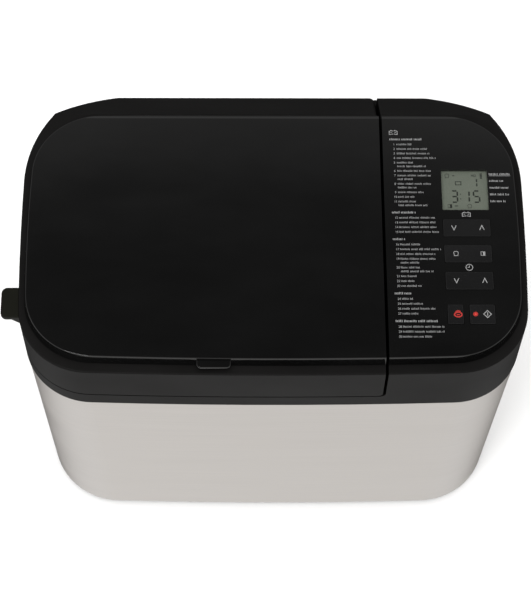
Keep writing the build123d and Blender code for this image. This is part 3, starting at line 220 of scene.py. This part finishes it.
def circuit_board():
    """Green solder resist with lighter tracks."""
    material, tree, shader = start_material("circuit_board", (0.02, 0.12, 0.05), 0.4)
    tracks = noise(tree, 1.0, (160, 400, 160), 1.0)
    shade(tree, shader, tracks, (0.012, 0.075, 0.030), (0.030, 0.150, 0.060))
    tree.links.new(spread(tree, tracks, 0.32, 0.5), shader.inputs["Roughness"])
    return material


def display_glass():
    """Clear window: mostly see-through, with a gloss that still shows."""
    material, tree, shader = start_material("display_glass", (0.03, 0.035, 0.03), 0.06)
    tree.links.new(spread(tree, noise(tree, 25.0), 0.05, 0.12), shader.inputs["Roughness"])
    shader.inputs["Alpha"].default_value = 0.06
    return material


def display_screen():
    """Grey-green liquid crystal with a fine cell texture and a slow change of tone."""
    material, tree, shader = start_material("display_screen", (0.15, 0.17, 0.13), 0.55)
    cells = noise(tree, 900, detail=1.0)
    tone = noise(tree, 22.0)
    shade(tree, shader, tone, (0.084, 0.096, 0.076), (0.094, 0.106, 0.084))
    tree.links.new(spread(tree, cells, 0.5, 0.6), shader.inputs["Roughness"])
    return material


def print_ink(name, dark, light):
    """Screen-printed ink, a little uneven."""
    material, tree, shader = start_material(name, light, 0.5)
    coverage = noise(tree, 1200, detail=2.0)
    shade(tree, shader, coverage, dark, light)
    tree.links.new(spread(tree, coverage, 0.42, 0.6), shader.inputs["Roughness"])
    return material


def lamp_lens():
    """Lit red lamp: a faint even glow, its red a little uneven."""
    material, tree, shader = start_material("lamp_lens", (0.35, 0.02, 0.015), 0.3)
    flicker = noise(tree, 300)
    shade(tree, shader, flicker, (0.30, 0.015, 0.012), (0.42, 0.03, 0.02))
    shader.inputs["Emission Color"].default_value = (1.0, 0.10, 0.06, 1)
    shader.inputs["Emission Strength"].default_value = 0.12
    return material


SLOT_MATERIALS = {
    "wrap_steel": brushed_steel(),
    "frame_plastic": moulded_plastic(
        "frame_plastic", (0.0042, 0.0040, 0.0039), (0.0062, 0.0059, 0.0058), 0.52,
        specular=0.07),
    "tab_plastic": moulded_plastic(
        "tab_plastic", (0.0042, 0.0042, 0.0028), (0.0066, 0.0066, 0.0045), 0.5,
        specular=0.10),
    "gloss_black": polished_plastic(
        "gloss_black", (0.0016, 0.0016, 0.0016), (0.0026, 0.0026, 0.0026), 0.05, 0.09),
    "key_plastic": polished_plastic(
        "key_plastic", (0.0035, 0.0035, 0.0036), (0.0052, 0.0052, 0.0054), 0.10, 0.16),
    "display_glass": display_glass(),
    "display_screen": display_screen(),
    "rubber": moulded_plastic("rubber", (0.010, 0.010, 0.010), (0.018, 0.018, 0.018), 0.75, 900),
    "seal": moulded_plastic("seal", (0.40, 0.40, 0.385), (0.47, 0.47, 0.455), 0.6, 900),
    "board": circuit_board(),
    "well_metal": worked_metal("well_metal", (0.40, 0.40, 0.39), (0.49, 0.49, 0.48), 0.33),
    "heater_metal": coated_metal("heater_metal", (0.050, 0.048, 0.045), (0.095, 0.092, 0.085), 0.5),
    "cast_metal": worked_metal("cast_metal", (0.48, 0.48, 0.49), (0.60, 0.60, 0.61), 0.45, (500, 500, 500)),
    "shaft_steel": worked_metal("shaft_steel", (0.56, 0.56, 0.56), (0.66, 0.66, 0.66), 0.2, (300, 300, 60)),
    "lid_metal": worked_metal("lid_metal", (0.55, 0.55, 0.55), (0.64, 0.64, 0.64), 0.3, (12, 900, 60)),
    "box_plastic": moulded_plastic("box_plastic", (0.135, 0.135, 0.135), (0.165, 0.165, 0.165), 0.4),
    "pan_coating": coated_metal("pan_coating", (0.030, 0.030, 0.030), (0.075, 0.075, 0.073), 0.38),
}
WHITE_INK = print_ink("white_ink", (0.16, 0.16, 0.16), (0.25, 0.25, 0.25))
RED_INK = print_ink("red_ink", (0.24, 0.012, 0.010), (0.34, 0.020, 0.015))
DIGIT_INK = print_ink("digit_ink", (0.003, 0.004, 0.003), (0.006, 0.007, 0.005))


def dress_cad_nodes():
    """Each CAD node takes the material of its slot in the record."""
    for entry in frame["record"]["subparts"]:
        node = nodes[entry["node"]]
        node.data.materials.clear()
        node.data.materials.append(SLOT_MATERIALS[entry["material_slot"]])


# ---------------------------------------------------------------- flat printed shapes, in millimetres

INK = 0.04


def add_shapes(name, outlines, bottom, body, material, thickness=INK):
    """Thin closed prisms from outlines in millimetres, standing at height bottom, as one piece."""
    mesh = bpy.data.meshes.new(name)
    build = bmesh.new()
    for outline in outlines:
        low = [build.verts.new((x * MM, y * MM, bottom)) for x, y in outline]
        high = [build.verts.new((x * MM, y * MM, bottom + thickness * MM)) for x, y in outline]
        build.faces.new(high)
        build.faces.new(low[::-1])
        for index in range(len(low)):
            after = (index + 1) % len(low)
            build.faces.new((low[index], low[after], high[after], high[index]))
    bmesh.ops.recalc_face_normals(build, faces=build.faces)
    build.to_mesh(mesh)
    build.free()
    piece = bpy.data.objects.new(name, mesh)
    bpy.context.scene.collection.objects.link(piece)
    mesh.materials.append(material)
    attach(piece, body)
    return piece


def rectangle(x, y, width, height):
    """The four corners of a rectangle about its middle."""
    half_w, half_h = width / 2, height / 2
    return [
        (x - half_w, y - half_h), (x + half_w, y - half_h),
        (x + half_w, y + half_h), (x - half_w, y + half_h),
    ]


def arc(x, y, radius_x, radius_y, start, end, steps=20):
    """Points on an ellipse from one angle to another, in degrees."""
    angles = [math.radians(start + (end - start) * step / steps) for step in range(steps + 1)]
    return [(x + radius_x * math.cos(a), y + radius_y * math.sin(a)) for a in angles]


def ribbon(points, width, closed=False):
    """Quads that follow a line of points with mitred joints."""
    count = len(points)
    sides = []
    for index, (x, y) in enumerate(points):
        before = points[index - 1] if closed or index > 0 else None
        after = points[(index + 1) % count] if closed or index < count - 1 else None
        here = Vector((x, y))
        into = (here - Vector(before)).normalized() if before else (Vector(after) - here).normalized()
        out = (Vector(after) - here).normalized() if after else into
        normal = Vector((-(into.y + out.y), into.x + out.x)).normalized()
        reach = width / 2 / max(0.35, normal.dot(Vector((-into.y, into.x))))
        sides.append((here + normal * reach, here - normal * reach))
    quads = []
    for index in range(count if closed else count - 1):
        left, right = sides[index]
        next_left, next_right = sides[(index + 1) % count]
        quads.append([tuple(right), tuple(next_right), tuple(next_left), tuple(left)])
    return quads


def chevron(x, y, up):
    """An arrow head that points to the back or to the front."""
    rise = 1.9 if up else -1.9
    return ribbon([(x - 1.7, y - rise), (x, y + rise), (x + 1.7, y - rise)], 0.55)


def book(x, y, width=6.0, height=3.6):
    """An open book."""
    half_w, half_h = width / 2, height / 2
    shapes = []
    for side in (-1, 1):
        page = [
            (x, y - half_h + 0.5), (x + side * half_w, y - half_h), (x + side * half_w, y + half_h - 0.8),
            (x + side * half_w * 0.5, y + half_h), (x, y + half_h - 0.7),
        ]
        shapes += ribbon(page, 0.5, closed=True)
        shapes.append(rectangle(x + side * half_w * 0.5, y + 0.1, half_w * 0.42, 0.45))
    return shapes


def clock(x, y, radius=2.5):
    """A dial with two hands."""
    return (
        ribbon(arc(x, y, radius, radius, 0, 342), 0.5, closed=True)
        + ribbon([(x, y + radius * 0.6), (x, y - 0.1), (x - radius * 0.5, y - 0.1)], 0.45)
    )


def small_loaf(x, y, scale=1.0):
    """A loaf seen from its end."""
    outline = [(x - 1.3 * scale, y - 1.7 * scale), (x + 1.3 * scale, y - 1.7 * scale)]
    outline += arc(x, y + 0.7 * scale, 1.7 * scale, 1.2 * scale, -20, 200, 12)
    return ribbon(outline, 0.45 * scale, closed=True)


def half_square(x, y, side=3.0, line=0.4):
    """A square with its right half filled."""
    outline = ribbon(rectangle(x, y, side, side), line, closed=True)
    return outline + [rectangle(x + side / 4, y, side / 2, side - line)]


# the seven segments, as the ends of each bar in units of the digit's half width and half height
SEGMENTS = {
    "top": ((-1, 1), (1, 1)), "middle": ((-1, 0), (1, 0)), "bottom": ((-1, -1), (1, -1)),
    "back_left": ((-1, 0), (-1, 1)), "back_right": ((1, 0), (1, 1)),
    "front_left": ((-1, -1), (-1, 0)), "front_right": ((1, -1), (1, 0)),
}
DIGITS = {
    "1": ("back_right", "front_right"),
    "3": ("top", "middle", "bottom", "back_right", "front_right"),
    "5": ("top", "middle", "bottom", "back_left", "front_right"),
}


def digit(name, x, y, width, height, line):
    """A seven-segment digit: bars with a small gap at each joint."""
    bars = []
    for segment in DIGITS[name]:
        (x0, y0), (x1, y1) = SEGMENTS[segment]
        start = Vector((x + x0 * width / 2, y + y0 * height / 2))
        end = Vector((x + x1 * width / 2, y + y1 * height / 2))
        gap = (end - start).normalized() * line * 0.55
        bars += ribbon([tuple(start + gap), tuple(end - gap)], line)
    return bars


def dashes(x, y, length, rng, height=1.25, line=0.34):
    """A row of short upright strokes in groups, standing for a printed line without any lettering."""
    shapes = []
    at = x
    left_in_group = rng.randint(4, 9)
    while at < x + length:
        tall = height * rng.choice((1.0, 1.0, 1.25))
        shapes.append(rectangle(at + line / 2, y - height / 2 + tall / 2, line, tall))
        if rng.random() < 0.55:
            shapes.append(rectangle(at + line, y + rng.choice((-0.5, 0.0, 0.5)) * (height - 0.3), line, 0.3))
        at += line + rng.uniform(0.42, 0.60)
        left_in_group -= 1
        if left_in_group == 0:
            at += 0.75
            left_in_group = rng.randint(4, 9)
    return shapes


# ---------------------------------------------------------------- control panel

window_low, window_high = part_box("display_window")
plate_low, plate_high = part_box("control_plate")
PANEL_X = (window_low.x + window_high.x) / 2 / MM
WINDOW_Y = (window_low.y + window_high.y) / 2 / MM
PLATE_LEFT = plate_low.x / MM
PLATE_TOP = plate_high.z

# programme list: a heading's length, then each numbered line's length and that of its second line, if any
LIST_LEFT = 5.4
LIST_TOP = 68.6
HEADING_GAP = 6.1
FIRST_GAP = 4.43
LINE_GAP = 3.97
SECOND_GAP = 3.2
NUMBER_LEFT = 1.9
LINE_LEFT = 5.2
PROGRAMMES = (
    (24, (
        (12, 0), (24, 0), (25, 0), (29, 0), (12, 21), (25, 0), (25, 12), (25, 14), (19, 0), (12, 0), (14, 21),
    )),
    (18, ((27, 0), (27, 0), (28, 0), (29, 0))),
    (9, ((15, 0), (30, 0), (26, 0), (26, 14), (14, 24), (12, 0), (10, 0), (15, 0))),
    (12, ((8, 0), (15, 0), (24, 0), (11, 0))),
    (31, ((30, 0), (30, 0), (21, 0))),
)
STATUS_LENGTHS = (16, 10.5, 13.5, 14.5, 11)
STATUS_GAP = 5.8
NUMBER_SIZE = 2.5
# width, height and line of the time's digits
TIME_DIGIT = (4.4, 9.6, 1.15)

LAMP_RADIUS = 1.0
LAMP_DOME = 0.22
LAMP_RING_RADIUS = 1.5
FLOOR_RADIUS = 6.0


def add_numbers(name, labels, body, material):
    """Plain printed numbers in one mesh. Each label is a text, its left end and its middle height."""
    joined = bmesh.new()
    for text, x, y in labels:
        curve = bpy.data.curves.new(name, "FONT")
        curve.body = text
        curve.size = NUMBER_SIZE * MM
        curve.align_y = "CENTER"
        curve.extrude = INK * MM / 2
        holder = bpy.data.objects.new(name, curve)
        bpy.context.scene.collection.objects.link(holder)
        bpy.context.view_layer.update()
        mesh = bpy.data.meshes.new_from_object(holder)
        mesh.transform(Matrix.Translation((x * MM, y * MM, PLATE_TOP + INK * MM / 2)))
        joined.from_mesh(mesh)
        bpy.data.objects.remove(holder)
        bpy.data.meshes.remove(mesh)
        bpy.data.curves.remove(curve)
    bmesh.ops.remove_doubles(joined, verts=joined.verts, dist=1e-7)
    mesh = bpy.data.meshes.new(name)
    joined.to_mesh(mesh)
    joined.free()
    mesh.materials.append(material)
    piece = bpy.data.objects.new(name, mesh)
    bpy.context.scene.collection.objects.link(piece)
    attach(piece, body)


def add_programme_list():
    """Numbered rows of dashes under five headings, left of the display."""
    rng = random.Random(5)
    left = PLATE_LEFT + LIST_LEFT
    y = LIST_TOP
    shapes = book(left + 3.0, y)
    labels = []
    number = 0
    for heading, lines in PROGRAMMES:
        y -= HEADING_GAP
        shapes += dashes(left, y, heading, rng, 1.45, 0.55)
        for row, (length, second) in enumerate(lines):
            y -= LINE_GAP if row else FIRST_GAP
            number += 1
            labels.append((str(number), left + NUMBER_LEFT + (0 if number > 9 else 0.7), y))
            shapes += dashes(left + LINE_LEFT, y, length, rng)
            if second:
                y -= SECOND_GAP
                shapes += dashes(left + LINE_LEFT, y, second, rng)
    add_shapes("programme_list", shapes, PLATE_TOP, "housing", WHITE_INK)
    add_numbers("programme_numbers", labels, "housing", WHITE_INK)


def add_status_words():
    """Five short rows right of the display, the first one underlined."""
    rng = random.Random(11)
    left = window_high.x / MM + 1.5
    shapes = []
    for row, length in enumerate(STATUS_LENGTHS):
        y = WINDOW_Y + 13.3 - row * STATUS_GAP
        shapes += dashes(left, y, length, rng, 1.35, 0.5)
    shapes.append(rectangle(left + STATUS_LENGTHS[0] / 2, WINDOW_Y + 12.0, STATUS_LENGTHS[0], 0.3))
    add_shapes("status_marks", shapes, PLATE_TOP, "housing", WHITE_INK)


def add_panel_icons():
    """Open book above the first key and clock above the third."""
    keys = {name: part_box(name) for name in ("programme_key", "size_key", "timer_key")}
    book_y = keys["programme_key"][1].y / MM + 3.3
    clock_y = (keys["size_key"][0].y + keys["timer_key"][1].y) / 2 / MM
    shapes = book(PANEL_X + 0.2, book_y) + clock(PANEL_X + 0.4, clock_y)
    add_shapes("panel_icons", shapes, PLATE_TOP, "housing", WHITE_INK)


def add_display_figures():
    """Time, programme number and small marks on the display."""
    x = PANEL_X
    y = WINDOW_Y
    time_y = y - 4.4
    shapes = []
    for name, offset in (("3", -7.6), ("1", 1.2), ("5", 9.0)):
        shapes += digit(name, x + offset, time_y, *TIME_DIGIT)
    shapes += [rectangle(x - 3.1, time_y + side * 2.0, 0.8, 0.8) for side in (-1, 1)]
    shapes += digit("1", x + 7.8, y + 7.5, 3.6, 7.2, 1.0)
    shapes += small_loaf(x - 12.7, y + 13.3, 0.9) + [rectangle(x - 7.9, y + 13.5, 1.8, 0.7)]
    shapes += ribbon(rectangle(x - 4.4, y + 7.0, 4.2, 2.7), 0.6, closed=True)
    shapes += ribbon(arc(x + 8.2, y + 13.6, 0.9, 0.9, 0, 330, 12), 0.35, closed=True)
    shapes += ribbon([(x + 5.6, y + 12.8), (x + 7.0, y + 14.4)], 0.35)
    shapes += ribbon([(x + 5.6, y + 14.4), (x + 7.0, y + 12.8)], 0.35)
    shapes += [rectangle(x + 13.0, y + 15.0 - row * 1.2, 1.7, 0.85) for row in range(4)]
    shapes += half_square(x - 11.4, y - 12.6, 2.9, 0.35) + [rectangle(x - 6.6, y - 12.4, 2.6, 0.7)]
    shapes += small_loaf(x + 3.4, y - 12.6, 0.85)
    screen_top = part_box("display_module")[1].z
    add_shapes("display_figures", shapes, screen_top, "housing", DIGIT_INK)


def key_centre(name):
    """Middle of a key in millimetres, and the height of its top in metres."""
    low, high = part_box(name)
    return (low.x + high.x) / 2 / MM, (low.y + high.y) / 2 / MM, high.z


def add_key_marks():
    """Printed marks on the keys, each riding with its own key, and the lamp in the start key."""
    for name in ("programme_key", "timer_key"):
        x, y, top = key_centre(name)
        shapes = chevron(x - 9.6, y, False) + chevron(x + 11.2, y, True)
        add_shapes(name + "_marks", shapes, top, name, WHITE_INK)
    x, y, top = key_centre("size_key")
    shapes = small_loaf(x - 9.0, y, 1.0) + half_square(x + 11.0, y)
    add_shapes("size_key_marks", shapes, top, "size_key", WHITE_INK)
    x, y, top = key_centre("stop_key")
    x += 1.8
    shapes = ribbon(arc(x, y - 0.4, 2.7, 1.9, 0, 345, 24), 1.0, closed=True)
    shapes += ribbon(arc(x, y + 0.9, 1.9, 1.7, 25, 155, 10), 0.8) + [rectangle(x, y - 0.5, 2.2, 0.8)]
    add_shapes("stop_key_marks", shapes, top, "stop_key", RED_INK)
    x, y, top = key_centre("start_key")
    diamond = [(x + 0.8, y), (x + 3.6, y - 2.9), (x + 6.4, y), (x + 3.6, y + 2.9)]
    shapes = ribbon(diamond, 0.55, closed=True) + [rectangle(x + 3.6, y, 0.7, 2.7)]
    add_shapes("start_key_marks", shapes, top, "start_key", WHITE_INK)
    add_lamp(x - 5.1, y, top)


def add_lamp(x, y, top):
    """Small domed lens, with a fine ring round it."""
    rings = 6
    steps = 24
    build = bmesh.new()
    circles = []
    for ring in range(rings):
        lean = math.radians(90 * ring / rings)
        circles.append([
            build.verts.new((
                (x + LAMP_RADIUS * math.cos(lean) * math.cos(math.tau * step / steps)) * MM,
                (y + LAMP_RADIUS * math.cos(lean) * math.sin(math.tau * step / steps)) * MM,
                top + LAMP_DOME * math.sin(lean) * MM,
            ))
            for step in range(steps)
        ])
    crown = build.verts.new((x * MM, y * MM, top + LAMP_DOME * MM))
    for lower, upper in zip(circles, circles[1:]):
        for step in range(steps):
            after = (step + 1) % steps
            build.faces.new((lower[step], lower[after], upper[after], upper[step]))
    for step in range(steps):
        build.faces.new((circles[-1][step], circles[-1][(step + 1) % steps], crown))
    build.faces.new(circles[0][::-1])
    mesh = bpy.data.meshes.new("start_lamp")
    build.to_mesh(mesh)
    build.free()
    for face in mesh.polygons:
        face.use_smooth = True
    mesh.materials.append(lamp_lens())
    lamp = bpy.data.objects.new("start_lamp", mesh)
    bpy.context.scene.collection.objects.link(lamp)
    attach(lamp, "start_key")
    ring = ribbon(arc(x, y, LAMP_RING_RADIUS, LAMP_RING_RADIUS, 0, 345, 24), 0.6, closed=True)
    add_shapes("start_lamp_ring", ring, top, "start_key", RED_INK)


# ---------------------------------------------------------------- studio

def add_floor():
    """Plain pale floor with the faintest unevenness."""
    build = bmesh.new()
    bmesh.ops.create_circle(build, cap_ends=True, radius=FLOOR_RADIUS, segments=96)
    mesh = bpy.data.meshes.new("floor")
    build.to_mesh(mesh)
    build.free()
    floor = bpy.data.objects.new("floor", mesh)
    bpy.context.scene.collection.objects.link(floor)
    material, tree, shader = start_material("floor", (0.93, 0.93, 0.93), 0.9)
    shade(tree, shader, noise(tree, 3.0), (0.92, 0.92, 0.92), (0.94, 0.94, 0.94))
    shader.inputs["Specular IOR Level"].default_value = 0.0
    mesh.materials.append(material)
    floor.visible_glossy = False


def ramp_of(tree, value, stops, colour=(1.0, 0.995, 0.985)):
    """Brightness along a value, from (position, brightness) stops, a little warm."""
    node = tree.nodes.new("ShaderNodeValToRGB")
    ramp = node.color_ramp
    ramp.interpolation = "B_SPLINE"
    while len(ramp.elements) < len(stops):
        ramp.elements.new(0.5)
    for element, (position, brightness) in zip(ramp.elements, stops):
        element.position = position
        element.color = (*(brightness * share for share in colour), 1)
    tree.links.new(value, node.inputs["Fac"])
    return node.outputs["Color"]


# brightness of the surroundings by height: the sine of the angle above the horizon, with -1 to 1 as 0 to 1
FRONT_SKY = ((0.0, 1.04), (0.12, 0.98), (0.50, 0.94), (0.80, 0.85), (0.93, 0.30), (1.0, 0.06))
BACK_SKY = (
    (0.0, 0.07), (0.30, 0.08), (0.50, 0.16), (0.75, 0.70),
    (0.900, 0.75), (0.925, 0.45), (0.938, 0.06), (1.0, 0.02),
)
# share of the front's brightness that each bearing gets, from the front over the left or right to the back
LEFT_TURN = (
    (0.0, 1.0), (0.10, 0.95), (0.22, 2.30), (0.36, 1.70), (0.50, 1.10), (0.75, 0.40), (1.0, 0.30),
)
RIGHT_TURN = (
    (0.0, 1.0), (0.10, 0.97), (0.22, 1.50), (0.36, 1.15), (0.50, 0.85), (0.75, 0.40), (1.0, 0.30),
)


def add_world():
    """Bright in front and to both sides, darker behind and overhead, as between large flags and screens."""
    world = bpy.data.worlds.new("studio")
    bpy.context.scene.world = world
    world.use_nodes = True
    tree = world.node_tree
    direction = tree.nodes.new("ShaderNodeTexCoord")
    axes = tree.nodes.new("ShaderNodeSeparateXYZ")
    tree.links.new(direction.outputs["Generated"], axes.inputs["Vector"])
    height = tree.nodes.new("ShaderNodeMapRange")
    height.inputs["From Min"].default_value = -1.0
    tree.links.new(axes.outputs["Z"], height.inputs["Value"])
    flat = tree.nodes.new("ShaderNodeVectorMath")
    flat.operation = "MULTIPLY"
    flat.inputs[1].default_value = (1, 1, 0)
    tree.links.new(direction.outputs["Generated"], flat.inputs[0])
    bearing = tree.nodes.new("ShaderNodeVectorMath")
    bearing.operation = "NORMALIZE"
    tree.links.new(flat.outputs["Vector"], bearing.inputs[0])
    turns = tree.nodes.new("ShaderNodeSeparateXYZ")
    tree.links.new(bearing.outputs["Vector"], turns.inputs["Vector"])
    backness = tree.nodes.new("ShaderNodeMapRange")
    backness.inputs["From Min"].default_value = -1.0
    tree.links.new(turns.outputs["Y"], backness.inputs["Value"])
    rightness = tree.nodes.new("ShaderNodeMapRange")
    rightness.interpolation_type = "SMOOTHSTEP"
    rightness.inputs["From Min"].default_value = -0.3
    rightness.inputs["From Max"].default_value = 0.3
    tree.links.new(turns.outputs["X"], rightness.inputs["Value"])
    behind = tree.nodes.new("ShaderNodeMapRange")
    behind.interpolation_type = "SMOOTHSTEP"
    behind.inputs["From Min"].default_value = -0.25
    behind.inputs["From Max"].default_value = 0.65
    tree.links.new(turns.outputs["Y"], behind.inputs["Value"])
    sides = tree.nodes.new("ShaderNodeMix")
    sides.data_type = "RGBA"
    tree.links.new(rightness.outputs["Result"], sides.inputs["Factor"])
    tree.links.new(ramp_of(tree, backness.outputs["Result"], LEFT_TURN), sides.inputs["A"])
    tree.links.new(ramp_of(tree, backness.outputs["Result"], RIGHT_TURN), sides.inputs["B"])
    front = tree.nodes.new("ShaderNodeMix")
    front.data_type = "RGBA"
    front.blend_type = "MULTIPLY"
    front.inputs["Factor"].default_value = 1.0
    tree.links.new(ramp_of(tree, height.outputs["Result"], FRONT_SKY), front.inputs["A"])
    tree.links.new(sides.outputs["Result"], front.inputs["B"])
    whole = tree.nodes.new("ShaderNodeMix")
    whole.data_type = "RGBA"
    tree.links.new(behind.outputs["Result"], whole.inputs["Factor"])
    tree.links.new(front.outputs["Result"], whole.inputs["A"])
    tree.links.new(ramp_of(tree, height.outputs["Result"], BACK_SKY), whole.inputs["B"])
    tree.links.new(whole.outputs["Result"], tree.nodes["Background"].inputs["Color"])


def add_softbox(name, place, aim, width, depth, watts, in_reflections):
    """A rectangular softbox that faces its aim."""
    data = bpy.data.lights.new(name, "AREA")
    data.shape = "RECTANGLE"
    data.size = width
    data.size_y = depth
    data.energy = watts
    light = bpy.data.objects.new(name, data)
    bpy.context.scene.collection.objects.link(light)
    light.location = place
    light.rotation_euler = (Vector(aim) - Vector(place)).to_track_quat("-Z", "Y").to_euler()
    light.visible_glossy = in_reflections
    light.visible_camera = False


def add_studio():
    """Floor, surroundings, a large soft light overhead and a small one at the front left."""
    add_floor()
    add_world()
    middle = (0, 0, cad_high.z)
    add_softbox("overhead", (0.0, -0.2, 2.6), middle, 2.4, 2.4, 75, False)
    add_softbox("front_left", (-0.75, -1.25, 1.7), middle, 0.7, 0.25, 14, True)
    bpy.context.scene.view_settings.view_transform = "Standard"


add_camera()
add_studio()
dress_cad_nodes()
add_programme_list()
add_status_words()
add_panel_icons()
add_display_figures()
add_key_marks()
